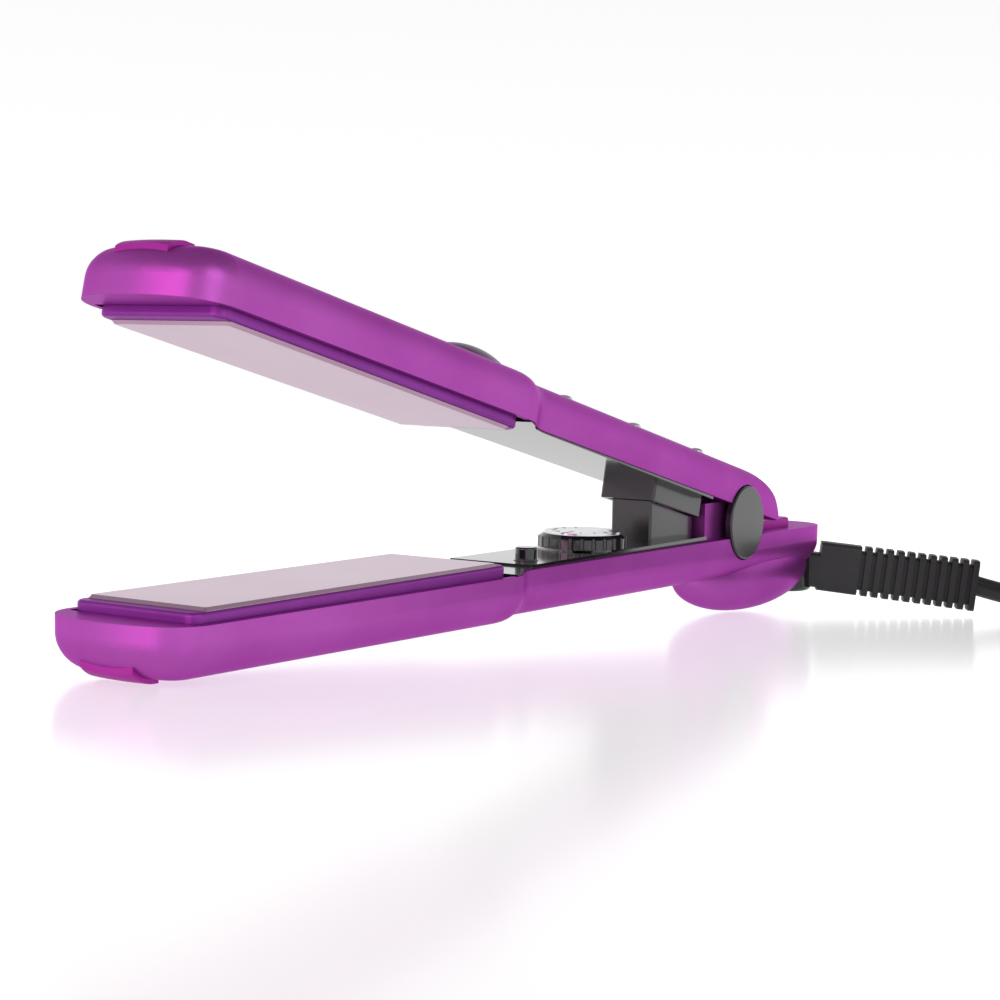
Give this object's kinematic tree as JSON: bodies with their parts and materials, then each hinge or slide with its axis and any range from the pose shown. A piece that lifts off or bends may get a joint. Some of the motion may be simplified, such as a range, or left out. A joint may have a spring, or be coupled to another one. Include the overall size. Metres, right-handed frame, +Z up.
{
  "type": "flat iron",
  "caption": "Hair straightener with two hinged heated-plate arms, sprung open, with a temperature dial, power button, swivelling cord relief and coiled mains lead",
  "frame": {"origin": "centre of the footprint of the open iron, without its cord, on the surface it lies on", "axes": "+X runs from the plates to the hinge and cord end, +Z up, -Y is the side where the cord relief is turned to"},
  "size_m": [0.351, 0.1749, 0.0867],
  "materials": {
    "shell": "satin metallic purple lacquer",
    "carrier": "satin purple",
    "plate": "polished pinkish ceramic coating",
    "black_gloss": "glossy black",
    "black_satin": "satin black",
    "black_rubber": "matt black",
    "cord_rubber": "matt black",
    "bright": "satin chrome",
    "steel": "bright",
    "brass_pins": "bright",
    "heater_ceramic": "matt white",
    "fibre": "woven glass fibre",
    "board_green": "green solder mask",
    "wire": "white silicone",
    "pad": "satin purple"
  },
  "bodies": {
    "lower_arm": {"lower_housing": "shell", "swivel_cover": "shell", "lower_tip_pad": "pad", "lower_plate_carrier": "carrier", "lower_carrier_screws": "steel", "lower_ceramic_plate": "plate", "lower_heater": "heater_ceramic", "lower_insulator": "fibre", "lower_heater_leads": "wire", "lower_liner": "black_gloss", "deck_panel": "black_gloss", "spring_guard": "black_satin", "opening_spring": "steel", "circuit_board": "board_green", "potentiometer": "black_satin", "switch_body": "black_satin", "thermal_fuse": "heater_ceramic", "rear_stop": "pad", "mains_wires": "wire", "hinge_pin": "steel", "hinge_cap_near": "black_satin", "hinge_cap_far": "black_satin", "swivel_pin": "steel"},
    "upper_arm": {"upper_housing": "shell", "upper_tip_pad": "pad", "upper_plate_carrier": "carrier", "upper_carrier_screws": "steel", "upper_ceramic_plate": "plate", "upper_heater": "heater_ceramic", "upper_insulator": "fibre", "upper_heater_leads": "wire", "upper_liner": "black_gloss", "spring_sleeve": "black_satin", "thumb_pad": "pad", "thumb_bezel": "bright", "grip_studs": "bright"},
    "dial": {"temperature_dial": "black_gloss", "dial_face": "bright"},
    "button": {"power_button": "black_gloss"},
    "swivel": {"swivel_barrel": "black_gloss", "strain_relief": "black_rubber", "power_cord": "cord_rubber", "cord_coil": "cord_rubber", "plug_body": "black_rubber", "plug_pins": "brass_pins"}
  },
  "joints": [
    {"name": "arm_hinge", "type": "hinge", "parent": "lower_arm", "child": "upper_arm", "pos_m": [0.09491, 0, 0.0281], "axis": [0, -1, 0], "range_deg": [0, 13], "stiffness_Nm_per_rad": 0.6, "springref_deg": -40.11, "deforming": ["opening_spring"]},
    {"name": "dial_turn", "type": "hinge", "parent": "lower_arm", "child": "dial", "pos_m": [0.02201, 0, 0.02434], "axis": [-0.0515, 0, 0.9987], "range_deg": [0, 270]},
    {"name": "button_press", "type": "slide", "parent": "lower_arm", "child": "button", "axis": [0.0515, 0, -0.9987], "range_m": [0, 0.0006], "stiffness_N_per_m": 800, "springref_m": -0.001},
    {"name": "cord_swivel", "type": "hinge", "parent": "lower_arm", "child": "swivel", "pos_m": [0.15071, 0, 0.01405], "axis": [-0.0515, 0, 0.9987], "range_deg": [0, 124]}
  ]
}
